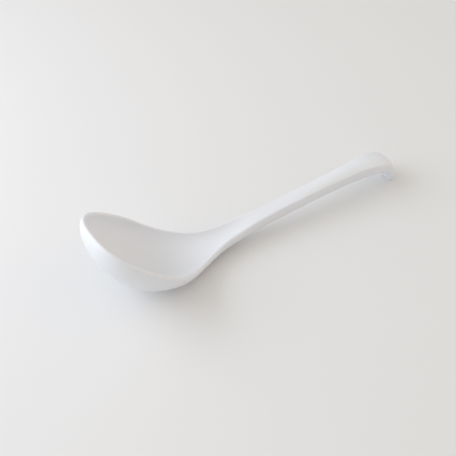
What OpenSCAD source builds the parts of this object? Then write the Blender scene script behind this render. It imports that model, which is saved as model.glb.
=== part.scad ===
/* [Bowl] */
// Length of the straight rim line, from the bowl's tip to where the neck starts to bend
rim_length = 44; // [42:0.5:46]
// How steeply the rim line runs down towards the neck, in degrees
rim_tilt = 38.5; // [36:0.5:40]
// Full width of the bowl across the rim
bowl_width = 50.4; // [46:0.2:54]
// Distance along the rim line from the tip to the widest place
bowl_widest = 32.8; // [31:0.2:35]
// Depth of the bowl outside, square to the rim line
bowl_depth = 18.5; // [17.6:0.1:20]
// Distance along the rim line from the tip to the deepest place
bowl_deepest = 29.8; // [28:0.2:31]
// Distance over which the depth falls from the bowl to the neck
depth_taper = 44.8; // [42:0.2:48]
// Distance over which the bowl's sides draw in behind the widest place
bowl_taper = 48.6; // [45:0.2:52]
// Thickness of the rim
rim_thickness = 2; // [1.6:0.1:2.4]
// Thickness of the bowl's wall
bowl_wall = 2.2; // [2:0.1:2.6]

/* [Foot] */
// Diameter of the small flat foot under the bowl
foot_d = 8.4; // [7:0.2:8.8]
// How far the foot stands out below the bowl
foot_proud = 0.6; // [0.5:0.1:0.8]
// How far the foot's top is let into the bowl's wall
foot_seat = 0.45; // [0.45:0.05:0.6]

/* [Neck] */
// Length of the neck's bend along the rim line
neck_length = 30.5; // [29:0.5:32]
// Width that the slower narrowing of the neck starts from
shoulder_width = 23.6; // [21:0.2:26]
// Distance over which the neck narrows to the handle's width
neck_taper = 79; // [75:1:83]
// Thickness of the neck at its thinnest, outside
neck_depth = 6.1; // [5.8:0.1:6.6]
// Distance behind the straight rim line where the trough starts to grow shallow
trough_start = 8; // [4:1:12]
// Distance behind the straight rim line where the trough runs out
trough_end = 60; // [56:1:64]

/* [Handle] */
// Length of the handle from the neck to the hook
handle_length = 92; // [86:1:100]
// Rise of the handle where it leaves the neck, in degrees
rise_angle = 6.6; // [6:0.2:7.4]
// Rise of the handle where it meets the hook, in degrees
end_angle = 2.8; // [2:0.2:3.4]
// Width of the handle at its slimmest
handle_width = 8.2; // [7.6:0.1:9]
// Thickness of the handle from top to underside
handle_thickness = 7.3; // [6.9:0.1:7.4]
// Distance over which the neck thickens to the handle
swell_length = 60; // [54:1:66]

/* [Hook] */
// Length over which the handle's end droops before the hook's bend
droop_length = 14.5; // [13:0.5:17]
// Droop of the handle's end where the bend starts, in degrees
droop_angle = 18.5; // [16:0.5:22]
// Radius of the hook's bend along its top
hook_radius = 7.75; // [7.75:0.25:8.5]
// Full width of the hook
hook_width = 13.8; // [12:0.2:16]
// Width of the handle where the hook starts
hook_root_width = 10.9; // [9.8:0.1:11.6]
// Distance before the hook over which the handle widens gently
flare_length = 33; // [28:1:40]
// How much the middle of the hook's top stands above its edges
hook_crown = 1.2; // [0.8:0.1:1.3]
// Thickness of the hook at its tip
tip_thickness = 1.9; // [1.8:0.1:2.6]
// Rounding of the hook's tip from its top to its underside
tip_radius = 0.7; // [0.5:0.1:0.9]
// Radius of the two corners of the hook's tip
tip_corner = 2.4; // [1.5:0.1:3.5]

/* [Smoothness] */
// Number of cross-sections from the tip to the widest place of the bowl
bowl_steps = 17; // [14:1:20]
// Largest distance between the cross-sections behind it
step_length = 2.4; // [2.2:0.1:4]
// Number of steps across one cross-section
across_steps = 24; // [16:2:26]

/* [Hidden] */
$fn = 96;

rim_r = rim_thickness / 2;
half_bowl = bowl_width / 2;
half_shoulder = shoulder_width / 2;
half_handle = handle_width / 2;
half_hook = hook_width / 2;
half_root = hook_root_width / 2;
right_angle = 90;
small = 0.001;

neck_end = rim_length + trough_end;
hook_start = rim_length + neck_length + handle_length;

// Fullness of the bowl's front seen from above, and of its keel seen from the side:
// 2 draws an ellipse, and more draws a fuller curve
plan_fullness = 2.45;
keel_fullness = 1.75;
// Roundness of the outside of a cross-section: 1 draws an ellipse, and less a squarer section
bowl_round = 1;
handle_round = 0.52;
// Half the arc that the inside of a cross-section covers: a right angle draws half an
// ellipse in the bowl, and a small angle draws a shallow curve where the trough runs out
shallow_arc = 25;
// How far before the end of the depth's fall the neck starts to thicken again
swell_lead = 10;
// The sharper widening runs from a little before the hook to a little before its bend
flare_lead = 2;
flare_stop = 2;
// Distance from the hook's start over which the hook stays as thick as the handle
thick_run = 15;
// Steps in each quarter of the rounded rim, and in the rounded tip of the hook
rim_steps = 3;
tip_steps = 5;
// Cross-sections lie further apart on the handle and closer together on the hook
handle_step_share = 2.2;
hook_step_share = 0.7;

// Smooth fall from 1 to 0 as s goes from one place to the next
function fall(s, from, to) =
    s <= from ? 1 : s >= to ? 0 : (1 + cos(180 * (s - from) / (to - from))) / 2;
function mix(low, high, share) = low + (high - low) * share;

// The rim line is a chain of runs: length, heading at the start, heading at the end
hook_arc = hook_radius * (right_angle - droop_angle) * PI / 180;
runs_to_bend = [
    [rim_length, -rim_tilt, -rim_tilt],
    [neck_length, -rim_tilt, rise_angle],
    [handle_length, rise_angle, end_angle],
    [droop_length, end_angle, -droop_angle],
    [hook_arc, -droop_angle, -right_angle]
];
function heading(run, u) = mix(run[1], run[2], u / run[0]);
function along(run, u) =
    let (a = run[1], k = (run[2] - run[1]) / run[0])
    abs(k) < small ? u * [cos(a), sin(a)]
        : 180 / PI / k * [sin(a + k * u) - sin(a), cos(a) - cos(a + k * u)];
function run_start(runs, i) = i == 0 ? [0, 0] : run_start(runs, i - 1) + along(runs[i - 1], runs[i - 1][0]);
// Point and heading of the rim line at distance s from the tip
function line_at(runs, s, i = 0) =
    i == len(runs) - 1 || s <= runs[i][0]
        ? [run_start(runs, i) + along(runs[i], s), heading(runs[i], s)]
        : line_at(runs, s - runs[i][0], i + 1);

// Depth of the outside behind the deepest place, down to the neck and up to the handle
swell_start = bowl_deepest + depth_taper - swell_lead;
function depth_behind(s) =
    mix(neck_depth, bowl_depth, fall(s, bowl_deepest, bowl_deepest + depth_taper))
    + (handle_thickness - neck_depth) * (1 - fall(s, swell_start, swell_start + swell_length));
// Keel point of the outside, seen from the side
function keel_at(s) =
    let (p = line_at(runs_to_bend, s), a = p[1])
    p[0] + depth_behind(s) * [sin(a), -cos(a)];
keel_step = 0.25;
keel = [for (s = [bowl_deepest : keel_step : rim_length + neck_length]) keel_at(s)];
keel_low = min([for (k = keel) k[1]]);
lowest = [for (k = keel) if (k[1] <= keel_low + small) k][0];
floor_z = keel_low - foot_proud;

// The bowl ends behind the lowest place, clear of the foot: at its share of the neck's
// bend, or further back where the lowest place lies further back
foot_clear = 3;
bend_share = 0.8;
lowest_s = max([for (i = [0 : len(keel) - 1])
    if (keel[i][1] <= keel_low + small) bowl_deepest + i * keel_step]);
bowl_end = max(rim_length + bend_share * neck_length, lowest_s + foot_d / 2 + foot_clear);

// The hook runs straight down to the floor after its bend
bend_end = run_start(runs_to_bend, len(runs_to_bend));
hook_drop = bend_end[1] - floor_z;
runs = concat(runs_to_bend, [[hook_drop, -right_angle, -right_angle]]);
bend_start = hook_start + droop_length;
total = bend_start + hook_arc + hook_drop;

// Superellipse that runs from 0 at the tip to 1 at distance reach
function front_curve(s, reach, fullness) =
    let (t = max(reach - s, 0) / reach) pow(max(1 - pow(t, fullness), 0), 1 / fullness);
function outer_depth(s) =
    s < bowl_deepest ? rim_r + (bowl_depth - rim_r) * front_curve(s, bowl_deepest, keel_fullness)
        : depth_behind(s);
function crown(s) = hook_crown * (1 - fall(s, neck_end, hook_start));
function trough_depth(s) =
    s < bowl_deepest
        ? rim_r + (bowl_depth - bowl_wall - rim_r)
            * front_curve(s - rim_thickness, bowl_deepest - rim_thickness, keel_fullness)
        : (depth_behind(s) - bowl_wall) * fall(s, rim_length + trough_start, neck_end) - crown(s);
function squareness(s) = fall(s, bowl_widest, neck_end);
function arc_at(s) = mix(shallow_arc, right_angle, squareness(s));
// The lip turns from the outside over the top until it is in line with the inside's edge:
// its turn past the top follows from the inside's depth, half width and arc, which depend
// on the turn a little, so it is worked out from the former turn several times
lip_rounds = 4;
function lip_turn(s, half, rounds = lip_rounds) =
    rounds <= 0 ? 0
        : let (turn = lip_turn(s, half, rounds - 1), c = cos(arc_at(s)),
               deep = trough_depth(s) - rim_r * (1 - cos(turn)),
               wide = half - rim_r * (1 + sin(turn)))
          atan2((1 + c) * deep, c * wide);

// How much a corner of radius r draws the hook's tip in at distance e from its end
function tip_inset(e, r) = e >= r ? 0 : r - sqrt(max(e, 0) * (2 * r - e));
function half_width(s) =
    half_handle
    + (half_bowl - half_shoulder) * fall(s, bowl_widest, bowl_widest + bowl_taper)
    + (half_shoulder - half_handle) * fall(s, bowl_widest, bowl_widest + neck_taper)
    + (half_root - half_handle) * pow(min(max(s - hook_start + flare_length, 0) / flare_length, 1), 2)
    + (half_hook - half_root) * (1 - fall(s, hook_start - flare_lead, bend_start - flare_stop))
    - tip_inset(total - s, tip_corner);
function full_depth(s) =
    mix(tip_thickness, outer_depth(s), fall(s, hook_start + thick_run, total))
    - tip_inset(total - s, tip_radius);

// The front of the bowl bulges past the tip of its rim
front_reach = [for (s = [0 : keel_step : bowl_deepest])
    let (p = line_at(runs, s)) p[0][0] - outer_depth(s) * sin(rim_tilt)];
middle_x = (min(front_reach) + bend_end[0] + hook_crown) / 2;

// Point at distance s along the rim line, y across and q below the line
function place(s, y, q) =
    let (p = line_at(runs, s), a = p[1])
    [p[0][0] - middle_x + q * sin(a), y, p[0][1] - floor_z - q * cos(a)];

// A station holds place, half width and depth of the outside, then of the inside, the
// lip's turn past the top, the outside's roundness, the inside's arc and the draw of the tip
function front_station(turn) =
    let (back = pow(cos(turn), 2 / plan_fullness), side = pow(sin(turn), 2 / plan_fullness),
         so = bowl_widest * (1 - back), si = bowl_widest - (bowl_widest - rim_thickness) * back)
    [so, half_bowl * side, outer_depth(so),
     si, (half_bowl - rim_thickness) * side, trough_depth(si),
     right_angle, bowl_round, right_angle, 0];
function back_station(s) =
    let (turn = lip_turn(s, half_width(s)))
    [s, half_width(s), full_depth(s),
     s, half_width(s) - rim_r * (1 + sin(turn)), trough_depth(s),
     turn, mix(handle_round, bowl_round, squareness(s)), arc_at(s), tip_inset(total - s, tip_radius)];

// Cosine across a section, exactly 0 at both ends, and a signed power for squarer sections
function across_cos(i) = i == 0 || i == across_steps ? 0 : cos(180 * i / across_steps - right_angle);
function across_sin(i) = sin(180 * i / across_steps - right_angle);
function bent(v, p) = sign(v) * pow(abs(v), p);
function outer_points(t) = [
    for (i = [0 : across_steps])
        place(t[0], t[1] * bent(across_sin(i), t[7]), rim_r + (t[2] - rim_r) * pow(across_cos(i), t[7]))
];
function inner_points(t) =
    let (drop = rim_r * (1 - cos(t[6])), deepest = t[5] - drop)
    [for (i = [across_steps : -1 : 0])
        let (a = t[8] * (2 * i / across_steps - 1))
        place(t[3], t[4] * sin(a) / sin(t[8]),
              max(drop, t[9]) + deepest * (cos(a) - cos(t[8])) / (1 - cos(t[8])))
    ];
// Rounded rim from the outside edge over the top to the inside edge; side is 1 or -1
function lip_points(t, side) = [
    for (i = [1 : 2 * rim_steps - 1])
        let (a = (right_angle + t[6]) * i / rim_steps / 2,
             share = (1 - cos(a)) / (1 + sin(t[6])))
        place(mix(t[0], t[3], share), side * mix(t[1], t[4], share), max(rim_r * (1 - sin(a)), t[9]))
];
function reversed(list) = [for (i = [len(list) - 1 : -1 : 0]) list[i]];
function ring(t) = concat(outer_points(t), lip_points(t, 1), inner_points(t), reversed(lip_points(t, -1)));

lip_count = 2 * rim_steps - 1;
side_count = across_steps + 1;
ring_count = 2 * side_count + 2 * lip_count;
inner_last = ring_count - lip_count - 1;

// At the bowl's tip a ring folds to one short line over the rim
function folded(j) =
    j < side_count ? 0
        : j < side_count + lip_count ? j - side_count + 1
        : j <= inner_last ? lip_count + 1
        : ring_count - j;
function tip_points(t) = concat([outer_points(t)[0]], lip_points(t, 1), [inner_points(t)[0]]);

// Triangles across the wall at one end of a piece, then across each lip
cap = concat(
    [for (j = [0 : across_steps - 1]) each
        [[j, j + 1, inner_last - j - 1], [j, inner_last - j - 1, inner_last - j]]],
    [for (j = [side_count : side_count + lip_count - 1]) [across_steps, j, j + 1]],
    [for (j = [inner_last : ring_count - 2]) [0, j, j + 1]]
);

// Closed skin through a list of stations; a folded start closes by itself
module skin(stations, folds = false) {
    rings = [for (t = stations) ring(t)];
    first = folds ? tip_points(stations[0]) : rings[0];
    points = concat(first, [for (i = [1 : len(rings) - 1]) each rings[i]]);
    function at(i, j) = i > 0 ? len(first) + (i - 1) * ring_count + j : folds ? folded(j) : j;
    walls = [
        for (i = [0 : len(rings) - 2], j = [0 : ring_count - 1])
            let (n = (j + 1) % ring_count,
                 a = at(i, j), b = at(i, n), c = at(i + 1, n), d = at(i + 1, j))
            each [if (a != b) [a, c, b], [a, d, c]]
    ];
    last = at(len(rings) - 1, 0);
    near_end = folds ? [] : cap;
    far_end = [for (f = cap) [for (k = reversed(f)) k + last]];
    polyhedron(points, concat(walls, near_end, far_end));
}

// Stations evenly spaced from one end of a piece to the other
function stations_between(from, to, step) =
    let (n = ceil((to - from) / step)) [for (i = [0 : n]) back_station(mix(from, to, i / n))];

module bowl() {
    color("white")
        difference() {
            skin(concat(
                [for (i = [0 : bowl_steps - 1]) front_station(right_angle * i / bowl_steps)],
                stations_between(bowl_widest, bowl_end, step_length)
            ), folds = true);
            translate([lowest[0] - middle_x, 0, -foot_proud])
                cylinder(d = foot_d, h = 2 * foot_proud + foot_seat);
        }
}
module foot() {
    color("white")
        translate([lowest[0] - middle_x, 0, 0])
            cylinder(d = foot_d, h = foot_proud + foot_seat);
}
module neck() {
    color("white")
        skin(stations_between(bowl_end, neck_end, step_length));
}
module handle() {
    color("white")
        skin(stations_between(neck_end, hook_start, step_length * handle_step_share));
}
module hook() {
    color("white")
        skin(concat(
            stations_between(hook_start, total - tip_corner, step_length * hook_step_share),
            [for (i = [1 : tip_steps])
                back_station(total - tip_corner * (1 - sin(right_angle * i / tip_steps)))]
        ));
}

bowl();
foot();
neck();
handle();
hook();
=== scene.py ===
import math
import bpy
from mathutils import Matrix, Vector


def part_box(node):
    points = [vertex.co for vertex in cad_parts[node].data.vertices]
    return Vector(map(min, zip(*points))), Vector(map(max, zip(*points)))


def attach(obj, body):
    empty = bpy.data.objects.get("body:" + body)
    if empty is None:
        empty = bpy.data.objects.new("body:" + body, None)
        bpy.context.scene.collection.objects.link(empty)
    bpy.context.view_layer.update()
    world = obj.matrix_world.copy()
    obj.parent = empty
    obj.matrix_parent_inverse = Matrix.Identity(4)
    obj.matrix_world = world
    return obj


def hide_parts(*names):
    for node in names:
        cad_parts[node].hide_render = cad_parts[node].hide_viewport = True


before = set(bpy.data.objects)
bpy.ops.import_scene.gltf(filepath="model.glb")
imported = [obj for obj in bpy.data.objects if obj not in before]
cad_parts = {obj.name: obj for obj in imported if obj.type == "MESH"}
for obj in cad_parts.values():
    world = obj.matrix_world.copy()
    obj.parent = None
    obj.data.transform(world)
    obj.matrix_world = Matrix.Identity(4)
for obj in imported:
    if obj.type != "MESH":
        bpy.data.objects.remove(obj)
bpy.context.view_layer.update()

from types import SimpleNamespace

import bmesh
import bpy
from mathutils import Vector

# Bowl
# The deep front of the spoon, with a rounded rim that stands highest at the tip. The real
# spoon is one piece of hard white melamine resin, pressed hot in a steel mould, so the bowl,
# neck, handle and hook are portions of one skin that runs on from piece to piece.
MM = 0.001
RIGHT_ANGLE = math.pi / 2
sizes = dict(
    # The bowl, whose rim line is straight and tilts up towards the tip
    rim_length=44 * MM, rim_tilt=math.radians(38.5), rim_thickness=2 * MM,
    bowl_width=50.4 * MM, bowl_widest=32.8 * MM, bowl_depth=18.5 * MM, bowl_deepest=29.8 * MM,
    bowl_wall=2.2 * MM, depth_taper=44.8 * MM, bowl_taper=48.6 * MM,
    plan_fullness=2.45, keel_fullness=1.75,
    # The neck, with the trough that runs out behind the bowl
    neck_length=30.5 * MM, shoulder_width=23.6 * MM, neck_taper=79 * MM, neck_depth=6.1 * MM,
    trough_start=8 * MM, trough_end=60 * MM, shallow_arc=math.radians(25),
    # The handle, which rises a little and swells behind its slimmest place
    handle_length=92 * MM, rise_angle=math.radians(6.6), end_angle=math.radians(2.8),
    handle_width=8.2 * MM, handle_thickness=7.3 * MM, handle_round=0.52,
    swell_length=60 * MM, swell_lead=10 * MM,
    # The hook, which flares, droops and curls down to a blunt tip
    droop_length=14.5 * MM, droop_angle=math.radians(18.5), hook_radius=7.75 * MM,
    hook_width=13.8 * MM, hook_root_width=10.9 * MM, hook_crown=1.2 * MM, thick_run=15 * MM,
    flare_length=33 * MM, flare_lead=2 * MM, flare_stop=2 * MM,
    tip_thickness=1.9 * MM, tip_radius=0.7 * MM, tip_corner=2.4 * MM,
)


def node(tree, kind, inputs=None, **settings):
    """Adds a node: inputs are named with their values or the sockets they come from."""
    made = tree.nodes.new(kind)
    for name, value in settings.items():
        setattr(made, name, value)
    for name, value in (inputs or {}).items():
        if isinstance(value, bpy.types.NodeSocket):
            tree.links.new(value, made.inputs[name])
        else:
            made.inputs[name].default_value = value
    return made


def new_material(name):
    material = bpy.data.materials.new(name)
    material.use_nodes = True
    material.node_tree.nodes.clear()
    return material, material.node_tree


# The resin is a little uneven in tone, faintly wavy from the mould, and dulled in fine
# streaks along the spoon where it has been wiped
PALE, PALER = (0.803, 0.817, 0.847, 1), (0.831, 0.846, 0.875, 1)
SATIN, DULLER = 0.30, 0.38
WAVE_HEIGHT, STREAK_HEIGHT = 0.08 * MM, 0.01 * MM
melamine, resin = new_material("white_melamine")
where = node(resin, "ShaderNodeTexCoord").outputs["Object"]
cloud = node(resin, "ShaderNodeTexNoise",
             inputs={"Vector": where, "Scale": 42.0, "Detail": 3.0, "Roughness": 0.5})
tone = node(resin, "ShaderNodeValToRGB", inputs={"Fac": cloud.outputs["Fac"]})
dark_end, light_end = tone.color_ramp.elements
dark_end.position, dark_end.color = 0.3, PALE
light_end.position, light_end.color = 0.7, PALER
streak_way = node(resin, "ShaderNodeMapping",
                  inputs={"Vector": where, "Scale": (0.25, 1.0, 1.0), "Rotation": (0, 0, 0.3)})
streak = node(resin, "ShaderNodeTexNoise",
              inputs={"Vector": streak_way.outputs["Vector"], "Scale": 900.0, "Detail": 2.0})
shine = node(resin, "ShaderNodeMapRange",
             inputs={"Value": streak.outputs["Fac"], "From Min": 0.3, "From Max": 0.7,
                     "To Min": SATIN, "To Max": DULLER})
wave = node(resin, "ShaderNodeTexNoise", inputs={"Vector": where, "Scale": 90.0, "Detail": 1.0})
wave_bump = node(resin, "ShaderNodeBump",
                 inputs={"Height": wave.outputs["Fac"], "Strength": 0.35, "Distance": WAVE_HEIGHT})
streak_bump = node(resin, "ShaderNodeBump",
                   inputs={"Height": streak.outputs["Fac"], "Strength": 0.2, "Distance": STREAK_HEIGHT,
                           "Normal": wave_bump.outputs["Normal"]})
gloss = node(resin, "ShaderNodeBsdfPrincipled",
             inputs={"Base Color": tone.outputs["Color"], "Roughness": shine.outputs["Result"],
                     "Normal": streak_bump.outputs["Normal"], "IOR": 1.5})
node(resin, "ShaderNodeOutputMaterial", inputs={"Surface": gloss.outputs["BSDF"]})


class Field:
    """A value that the tree works out at every point of the skin."""

    def __init__(self, socket):
        self.socket = socket

    def __add__(self, other):
        return calc("ADD", self, other)

    def __radd__(self, other):
        return calc("ADD", other, self)

    def __sub__(self, other):
        return calc("SUBTRACT", self, other)

    def __rsub__(self, other):
        return calc("SUBTRACT", other, self)

    def __mul__(self, other):
        return calc("MULTIPLY", self, other)

    def __rmul__(self, other):
        return calc("MULTIPLY", other, self)

    def __truediv__(self, other):
        return calc("DIVIDE", self, other)

    def __rtruediv__(self, other):
        return calc("DIVIDE", other, self)

    def __neg__(self):
        return calc("MULTIPLY", self, -1.0)


in_numbers = {
    "ADD": lambda a, b: a + b, "SUBTRACT": lambda a, b: a - b,
    "MULTIPLY": lambda a, b: a * b, "DIVIDE": lambda a, b: a / b,
    "MAXIMUM": max, "MINIMUM": min, "POWER": pow,
    "SINE": math.sin, "COSINE": math.cos, "LESS_THAN": lambda a, b: float(a < b),
}


def calc(kind, *terms):
    """One step of arithmetic, on numbers at once or on fields with a node of the tree."""
    if not any(isinstance(term, Field) for term in terms):
        return in_numbers[kind](*terms)
    made = skin_tree.nodes.new("ShaderNodeMath")
    made.operation = kind
    for socket, term in zip(made.inputs, terms):
        if isinstance(term, Field):
            skin_tree.links.new(term.socket, socket)
        else:
            socket.default_value = term
    return Field(made.outputs[0])


def within(a, low, high):
    return calc("MINIMUM", calc("MAXIMUM", a, low), high)


def most(a, b):
    return calc("MAXIMUM", a, b)


def power(a, b):
    return calc("POWER", most(a, 0.0), b)


def sine(a):
    return calc("SINE", a)


def cosine(a):
    return calc("COSINE", a)


def below(a, b):
    return calc("LESS_THAN", a, b)


def mix(low, high, share):
    return low + (high - low) * share


def fall(s, start, end):
    """Smooth fall from 1 to 0 as s goes from start to end."""
    return (1 + cosine(within((s - start) / (end - start), 0.0, 1.0) * math.pi)) / 2


def neck_end(size):
    return size.rim_length + size.trough_end


def hook_start(size):
    return size.rim_length + size.neck_length + size.handle_length


def bend_start(size):
    return hook_start(size) + size.droop_length


def bend_end(size):
    return bend_start(size) + size.hook_radius * (RIGHT_ANGLE - size.droop_angle)


def line_at(size, s):
    """Place and heading of the rim line, seen from the side, at distance s from the tip."""
    bends = [
        (size.neck_length, -size.rim_tilt, size.rise_angle),
        (size.handle_length, size.rise_angle, size.end_angle),
        (size.droop_length, size.end_angle, -size.droop_angle),
        (bend_end(size) - bend_start(size), -size.droop_angle, -RIGHT_ANGLE),
    ]
    straight = within(s, 0.0, size.rim_length)
    x, z, heading = straight * cosine(size.rim_tilt), -straight * sine(size.rim_tilt), -size.rim_tilt
    start = size.rim_length
    for length, first, last in bends:
        u = within(s - start, 0.0, length)
        curve = (last - first) / length
        turned = first + curve * u
        x = x + (sine(turned) - sine(first)) / curve
        z = z + (cosine(first) - cosine(turned)) / curve
        heading = heading + curve * u
        start = start + length
    return x, z - most(s - start, 0.0), heading


def depth_behind(size, s):
    swell = size.bowl_deepest + size.depth_taper - size.swell_lead
    taper_end = size.bowl_deepest + size.depth_taper
    swollen = 1 - fall(s, swell, swell + size.swell_length)
    return (mix(size.neck_depth, size.bowl_depth, fall(s, size.bowl_deepest, taper_end))
            + (size.handle_thickness - size.neck_depth) * swollen)


def front_curve(s, reach, fullness):
    """Superellipse that runs from 0 at the tip to 1 at distance reach."""
    return power(1 - power(most(reach - s, 0.0) / reach, fullness), 1 / fullness)


def outer_depth(size, s):
    rim_r = size.rim_thickness / 2
    rise = front_curve(s, size.bowl_deepest, size.keel_fullness)
    return depth_behind(size, s) - (size.bowl_depth - rim_r) * (1 - rise)


def trough_depth(size, s):
    rim_r, reach = size.rim_thickness / 2, size.bowl_deepest - size.rim_thickness
    front = rim_r + (size.bowl_depth - size.bowl_wall - rim_r) * front_curve(
        s - size.rim_thickness, reach, size.keel_fullness)
    crown = size.hook_crown * (1 - fall(s, neck_end(size), hook_start(size)))
    trough_share = fall(s, size.rim_length + size.trough_start, neck_end(size))
    behind = (depth_behind(size, s) - size.bowl_wall) * trough_share - crown
    return mix(behind, front, below(s, size.bowl_deepest))


def tip_inset(end_gap, radius):
    """How much a corner draws the hook's tip in at a distance from its end."""
    gap = within(end_gap, 0.0, radius)
    return radius - power(gap * (2 * radius - gap), 0.5)


def half_width(size, s):
    handle, shoulder, bowl = size.handle_width / 2, size.shoulder_width / 2, size.bowl_width / 2
    hook, root, start = size.hook_width / 2, size.hook_root_width / 2, hook_start(size)
    gentle = within((s - start + size.flare_length) / size.flare_length, 0.0, 1.0)
    sharp = 1 - fall(s, start - size.flare_lead, bend_start(size) - size.flare_stop)
    return (handle
            + (bowl - shoulder) * fall(s, size.bowl_widest, size.bowl_widest + size.bowl_taper)
            + (shoulder - handle) * fall(s, size.bowl_widest, size.bowl_widest + size.neck_taper)
            + (root - handle) * gentle * gentle
            + (hook - root) * sharp)


# The lowest point of the keel stands above the table by the foot's height, the hook runs
# down to the table, and the spoon's box is centred on the origin
KEEL_STEP = 0.25 * MM
foot_low, foot_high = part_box("foot")
mould = SimpleNamespace(**sizes)
keel, s = [], 0.0
while s < mould.rim_length + mould.neck_length:
    line_x, line_z, heading = line_at(mould, s)
    keel_depth = outer_depth(mould, s)
    keel.append((line_z - keel_depth * math.cos(heading), line_x + keel_depth * math.sin(heading)))
    s += KEEL_STEP
last_x, last_z, _ = line_at(mould, bend_end(mould))
foot_proud = 0.6 * MM
sizes["floor_z"] = min(keel)[0] - foot_proud
sizes["middle_x"] = (min(x for _, x in keel) + last_x + mould.hook_crown) / 2
spoon_length = bend_end(mould) + last_z - sizes["floor_z"]

# The tree's inputs are the sizes and, for each piece, where it starts and ends along the
# rim line and its numbers of steps; front is 1 for the bowl, whose start folds to a tip
skin_tree = bpy.data.node_groups.new("moulded_skin", "GeometryNodeTree")
piece_inputs = ["spoon_length", "start", "end", "front", "front_steps", "along_steps", "across_steps",
                "lip_steps"]
for name in [*sizes, *piece_inputs]:
    kind = "NodeSocketInt" if name.endswith("_steps") else "NodeSocketFloat"
    skin_tree.interface.new_socket(name=name, in_out="INPUT", socket_type=kind)
skin_tree.interface.new_socket(name="surface", in_out="INPUT", socket_type="NodeSocketMaterial")
skin_tree.interface.new_socket(name="mesh", in_out="OUTPUT", socket_type="NodeSocketGeometry")
given = skin_tree.nodes.new("NodeGroupInput").outputs
size = SimpleNamespace(**{name: Field(given[name]) for name in [*sizes, *piece_inputs]})

# One grid is the whole skin. Its rows run along the spoon, with one more at each end that
# closes the wall, and its columns run once round the section
rows = size.front_steps + size.along_steps + 3
columns = 2 * size.across_steps + 2 * size.lip_steps + 1
grid = node(skin_tree, "GeometryNodeMeshGrid",
            inputs={"Size X": 1.0, "Size Y": 1.0,
                    "Vertices X": rows.socket, "Vertices Y": columns.socket})
at = node(skin_tree, "ShaderNodeSeparateXYZ",
          inputs={"Vector": node(skin_tree, "GeometryNodeInputPosition").outputs[0]})
row = calc("FLOOR", (Field(at.outputs["X"]) + 0.5) * (rows - 1) + 0.5)
column = calc("FLOOR", (Field(at.outputs["Y"]) + 0.5) * (columns - 1) + 0.5)

# Along the spoon: round the front by angle, with short steps at the tip, then back by
# distance, with short steps where one piece meets the next, so their shading runs on
TIP_CROWDING = 1.4
step = within(row - 1, 0.0, size.front_steps + size.along_steps)
front_share = within(step / most(size.front_steps, 1.0), 0.0, 1.0)
round_front = mix(RIGHT_ANGLE, RIGHT_ANGLE * power(front_share, TIP_CROWDING), size.front)
behind = most(step - size.front_steps, 0.0) / size.along_steps
far = mix(size.start, size.end, (1 - cosine(behind * math.pi)) / 2)
back = power(cosine(round_front), 2 / size.plan_fullness) * size.front
side = mix(1.0, power(sine(round_front), 2 / size.plan_fullness), size.front)
s_outer = far - size.bowl_widest * back
s_inner = far - (size.bowl_widest - size.rim_thickness) * back

# Across the spoon the columns follow the underside, the rounded lip, the inside and the
# other lip: across runs from one side to the other, and lip_share from outside to inside
lip_end = size.across_steps + size.lip_steps
inner_end = lip_end + size.across_steps
on_outer = below(column, size.across_steps + 0.5)
on_inner = below(lip_end - 0.5, column) * below(column, inner_end + 0.5)
on_lip = (1 - on_outer) * (1 - on_inner)
across = (within(column / size.across_steps, 0.0, 1.0)
          - within((column - lip_end) / size.across_steps, 0.0, 1.0)) * 2 - 1
lip_share = (within((column - size.across_steps) / size.lip_steps, 0.0, 1.0)
             - within((column - inner_end) / size.lip_steps, 0.0, 1.0))

# The outside is a superellipse, squarer towards the handle
rim_r = size.rim_thickness / 2
end_gap = size.spoon_length - far
inset = tip_inset(end_gap, size.tip_radius)
ovalness = fall(s_outer, size.bowl_widest, neck_end(size))
outer_round = mix(size.handle_round, 1.0, ovalness)
half = half_width(size, s_outer) - tip_inset(end_gap, size.tip_corner)
thick_share = fall(s_outer, hook_start(size) + size.thick_run, size.spoon_length)
deep = mix(size.tip_thickness, outer_depth(size, s_outer), thick_share) - inset
side_sine = sine(across * RIGHT_ANGLE)
side_sign = 1 - 2 * below(side_sine, 0.0)
y_outer = side * half * power(side_sine * side_sign, outer_round) * side_sign
q_outer = rim_r + (deep - rim_r) * power(cosine(across * RIGHT_ANGLE), outer_round)

# The inside is an arc, half an ellipse in the bowl and shallow where the trough runs out,
# and the lip turns past its top until it is in line with the arc's edge
LIP_ROUNDS = 4
trough = trough_depth(size, s_inner)
arc = mix(size.shallow_arc, RIGHT_ANGLE, fall(s_inner, size.bowl_widest, neck_end(size)))
lip_turn = 0.0
for _ in range(LIP_ROUNDS):
    edge_deep = (1 + cosine(arc)) * (trough - rim_r * (1 - cosine(lip_turn)))
    edge_wide = cosine(arc) * (half - rim_r * (1 + sine(lip_turn)))
    lip_turn = calc("ARCTAN2", edge_deep, edge_wide)
lip_turn = mix(lip_turn, RIGHT_ANGLE, below(s_inner, size.bowl_widest))
lip_drop = rim_r * (1 - cosine(lip_turn))
y_inner = side * (half - rim_r * (1 + sine(lip_turn))) * sine(across * arc) / sine(arc)
q_inner = most(lip_drop, inset) + (trough - lip_drop) * (
    (cosine(across * arc) - cosine(arc)) / (1 - cosine(arc)))
lip_angle = lip_share * (RIGHT_ANGLE + lip_turn)
share = (1 - cosine(lip_angle)) / (1 + sine(lip_turn))
q_lip = most(rim_r * (1 - sine(lip_angle)), inset)

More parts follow.
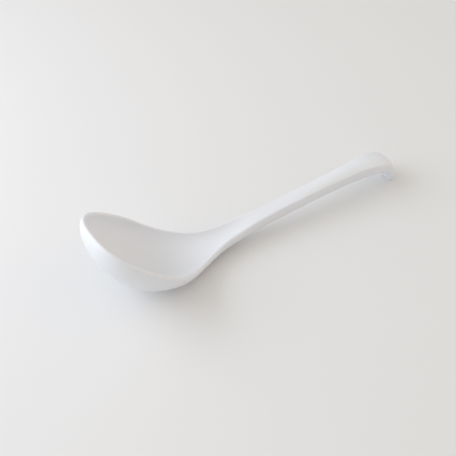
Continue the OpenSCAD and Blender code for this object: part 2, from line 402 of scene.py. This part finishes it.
# Points go to their places square to the rim line. A closing row lies in mid-wall, and the
# faces that reach it are shaded flat
closing = below(row, 0.5) * (1 - size.front) + below(rows - 1.5, row)
y = mix(mix(y_outer, y_inner, share), (y_outer + y_inner) / 2, closing)
q = mix(on_outer * q_outer + on_inner * q_inner + on_lip * q_lip, (q_outer + q_inner) / 2, closing)
x_line, z_line, heading = line_at(size, mix(s_outer, s_inner, share))
spot = node(skin_tree, "ShaderNodeCombineXYZ",
            inputs={"X": (x_line - size.middle_x + q * sine(heading)).socket, "Y": y.socket,
                    "Z": (z_line - size.floor_z - q * cosine(heading)).socket})
marked = node(skin_tree, "GeometryNodeStoreNamedAttribute",
              inputs={"Geometry": grid.outputs["Mesh"], "Name": "closing", "Value": closing.socket})
shaped = node(skin_tree, "GeometryNodeSetPosition",
              inputs={"Geometry": marked.outputs["Geometry"], "Position": spot.outputs["Vector"]})
MERGE_REACH = 0.0001 * MM
closed = node(skin_tree, "GeometryNodeMergeByDistance",
              inputs={"Geometry": shaped.outputs["Geometry"], "Distance": MERGE_REACH})
smooth = node(skin_tree, "GeometryNodeSetShadeSmooth",
              inputs={"Geometry": closed.outputs["Geometry"]})
mark = node(skin_tree, "GeometryNodeInputNamedAttribute", inputs={"Name": "closing"})
CLOSING_LEAST = 0.1
flat = node(skin_tree, "GeometryNodeSetShadeSmooth",
            inputs={"Geometry": smooth.outputs["Geometry"], "Shade Smooth": False,
                    "Selection": below(CLOSING_LEAST, Field(mark.outputs["Attribute"])).socket})
cleared = node(skin_tree, "GeometryNodeRemoveAttribute",
               inputs={"Geometry": flat.outputs["Geometry"], "Name": "closing"})
outward = node(skin_tree, "GeometryNodeFlipFaces", inputs={"Mesh": cleared.outputs["Geometry"]})
real = node(skin_tree, "GeometryNodeRealizeInstances", inputs={"Geometry": outward.outputs["Mesh"]})
finished = node(skin_tree, "GeometryNodeSetMaterial",
                inputs={"Geometry": real.outputs["Geometry"], "Material": given["surface"]})
node(skin_tree, "NodeGroupOutput", inputs={"mesh": finished.outputs["Geometry"]})


ACROSS_STEPS, LIP_STEPS = 64, 12


def moulded(name, start, end, along_steps, front_steps=0):
    """Draws one portion of the skin as a plain mesh in place of its CAD node."""
    chosen = {**sizes, "spoon_length": spoon_length, "start": start, "end": end,
              "front": float(front_steps > 0), "front_steps": front_steps,
              "along_steps": along_steps, "across_steps": ACROSS_STEPS, "lip_steps": LIP_STEPS,
              "surface": melamine}
    piece = bpy.data.objects.new(name + "_skin", bpy.data.meshes.new("blank"))
    bpy.context.scene.collection.objects.link(piece)
    modifier = piece.modifiers.new("skin", "NODES")
    modifier.node_group = skin_tree
    for item in skin_tree.interface.items_tree:
        if item.in_out == "INPUT":
            modifier[item.identifier] = chosen[item.name]
    bpy.context.view_layer.update()
    seen = piece.evaluated_get(bpy.context.evaluated_depsgraph_get())
    mesh = bpy.data.meshes.new_from_object(seen)
    piece.modifiers.remove(modifier)
    piece.data = mesh
    mesh.name = name + "_skin"
    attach(piece, "root")
    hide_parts(name)


BEND_SHARE = 0.8
bowl_end = mould.rim_length + BEND_SHARE * mould.neck_length
moulded("bowl", start=mould.bowl_widest, end=bowl_end, front_steps=48, along_steps=44)

# Foot
# The small flat pad under the bowl that the spoon stands on. It is pressed in the same
# mould and the same white melamine as the bowl, and its lower edge is a little rounded.
EDGE_RADIUS = 0.25 * MM
EDGE_STEPS = 6
AROUND = 96
SIDE_NORMAL = 0.98
foot_r = (foot_high.x - foot_low.x) / 2
centre_x, centre_y = (foot_low.x + foot_high.x) / 2, (foot_low.y + foot_high.y) / 2
edge_angles = [RIGHT_ANGLE * i / EDGE_STEPS for i in range(EDGE_STEPS + 1)]
profile = [(0, foot_low.z)]
profile += [(foot_r - EDGE_RADIUS * (1 - math.sin(a)), foot_low.z + EDGE_RADIUS * (1 - math.cos(a)))
            for a in edge_angles]
profile += [(foot_r, foot_high.z), (0, foot_high.z)]
pad = bmesh.new()
rings = []
for r, z in profile:
    turns = [2 * math.pi * i / AROUND for i in range(AROUND if r > 0 else 1)]
    rings.append([pad.verts.new((centre_x + r * math.cos(a), centre_y + r * math.sin(a), z))
                  for a in turns])
for lower, upper in zip(rings, rings[1:]):
    for i in range(AROUND):
        n = (i + 1) % AROUND
        corners = [lower[i % len(lower)], lower[n % len(lower)],
                   upper[n % len(upper)], upper[i % len(upper)]]
        pad.faces.new(list(dict.fromkeys(corners)))
foot_mesh = bpy.data.meshes.new("foot_pad")
pad.to_mesh(foot_mesh)
pad.free()
for face in foot_mesh.polygons:
    face.use_smooth = abs(face.normal.z) < SIDE_NORMAL
foot_mesh.materials.append(melamine)
foot = bpy.data.objects.new("foot_pad", foot_mesh)
bpy.context.scene.collection.objects.link(foot)
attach(foot, "root")
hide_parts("foot")

# Neck
# The bend between the bowl and the handle, where the bowl's hollow narrows to a trough and
# runs out. It is the same white melamine, and runs on from the bowl in one moulding.
moulded("neck", start=bowl_end, end=neck_end(mould), along_steps=44)

# Handle
# The slim solid bar behind the trough, with a full rounded underside and a top that grows
# slightly domed. It is the same white melamine, moulded in one with the neck.
moulded("handle", start=neck_end(mould), end=hook_start(mould), along_steps=48)

# Hook
# The end of the handle, flared and curled down to the table with a blunt rounded tip, which
# catches on a bowl's rim. It is the same white melamine, moulded in one with the handle.
moulded("hook", start=hook_start(mould), end=spoon_length, along_steps=72)

# Table
# A smooth pale table top with a faint warm tint, matte and a little uneven in tone, wide
# enough to fill the picture. It isn't part of the spoon.
TABLE_REACH = 6.0
floor_mesh = bpy.data.meshes.new("table_top")
corners = [(-TABLE_REACH, -TABLE_REACH, 0), (TABLE_REACH, -TABLE_REACH, 0),
           (TABLE_REACH, TABLE_REACH, 0), (-TABLE_REACH, TABLE_REACH, 0)]
floor_mesh.from_pydata(corners, [], [(0, 1, 2, 3)])
table_white, paint = new_material("table_white")
blotch = node(paint, "ShaderNodeTexNoise",
              inputs={"Vector": node(paint, "ShaderNodeTexCoord").outputs["Object"],
                      "Scale": 7.0, "Detail": 3.0})
tint = node(paint, "ShaderNodeValToRGB", inputs={"Fac": blotch.outputs["Fac"]})
tint.color_ramp.elements[0].color = (0.803, 0.80, 0.796, 1)
tint.color_ramp.elements[1].color = (0.823, 0.82, 0.816, 1)
matte = node(paint, "ShaderNodeBsdfPrincipled",
             inputs={"Base Color": tint.outputs["Color"], "Roughness": 0.7, "Specular IOR Level": 0.2})
node(paint, "ShaderNodeOutputMaterial", inputs={"Surface": matte.outputs["BSDF"]})
floor_mesh.materials.append(table_white)
floor = bpy.data.objects.new("table_top", floor_mesh)
bpy.context.scene.collection.objects.link(floor)

# Light
# A soft window close by at the left, and the glow of a room's walls, neutral at the left and
# warm at the right, that fades towards the camera's side and straight across from it.
LEFT, UP = Vector((-0.843, 0.538, 0)), Vector((0, 0, 1))
WALL_RISE = 0.3
room = bpy.data.worlds.new("room")
bpy.context.scene.world = room
room.use_nodes = True
room.node_tree.nodes.clear()
ray = node(room.node_tree, "ShaderNodeTexCoord").outputs["Generated"]
walls = []
for side_of_room, brightness, colour in ((LEFT, 1.48, (0.97, 1.0, 0.975, 1)),
                                         (-LEFT, 1.13, (1.0, 0.918, 0.856, 1))):
    facing = node(room.node_tree, "ShaderNodeVectorMath", operation="DOT_PRODUCT",
                  inputs={0: ray, 1: (side_of_room + WALL_RISE * UP).normalized()})
    glow = node(room.node_tree, "ShaderNodeMapRange",
                inputs={"Value": facing.outputs["Value"], "To Max": brightness})
    walls.append(node(room.node_tree, "ShaderNodeBackground",
                      inputs={"Color": colour, "Strength": glow.outputs["Result"]}))
both = node(room.node_tree, "ShaderNodeAddShader",
            inputs={0: walls[0].outputs["Background"], 1: walls[1].outputs["Background"]})
node(room.node_tree, "ShaderNodeOutputWorld", inputs={"Surface": both.outputs["Shader"]})
WINDOW_PLACE = Vector((-0.326, 0.232, 0.25))
window_data = bpy.data.lights.new("window", "AREA")
window_data.shape = "RECTANGLE"
window_data.size = 0.4
window_data.size_y = 0.25
window_data.energy = 0.80
window_data.color = (0.797, 0.835, 1.0)
window = bpy.data.objects.new("window", window_data)
window.location = WINDOW_PLACE
window.rotation_mode = "QUATERNION"
window.rotation_quaternion = (-window.location).to_track_quat("-Z", "Y")
bpy.context.scene.collection.objects.link(window)

# Camera
# It looks down on the table from in front of the bowl, with the handle running away to the
# right, as the photograph does.
CAMERA_PLACE, LOOK = Vector((-0.2017, -0.2934, 0.3370)), Vector((0.3931, 0.6153, -0.6833))
camera_data = bpy.data.cameras.new("camera")
camera_data.lens = 75.84
camera_data.sensor_width = 36
camera_data.clip_start = 0.01
camera_data.clip_end = 20
camera = bpy.data.objects.new("camera", camera_data)
camera.location = CAMERA_PLACE
camera.rotation_mode = "QUATERNION"
camera.rotation_quaternion = LOOK.to_track_quat("-Z", "Y")
bpy.context.scene.collection.objects.link(camera)
bpy.context.scene.camera = camera
bpy.context.scene.view_settings.view_transform = "Standard"
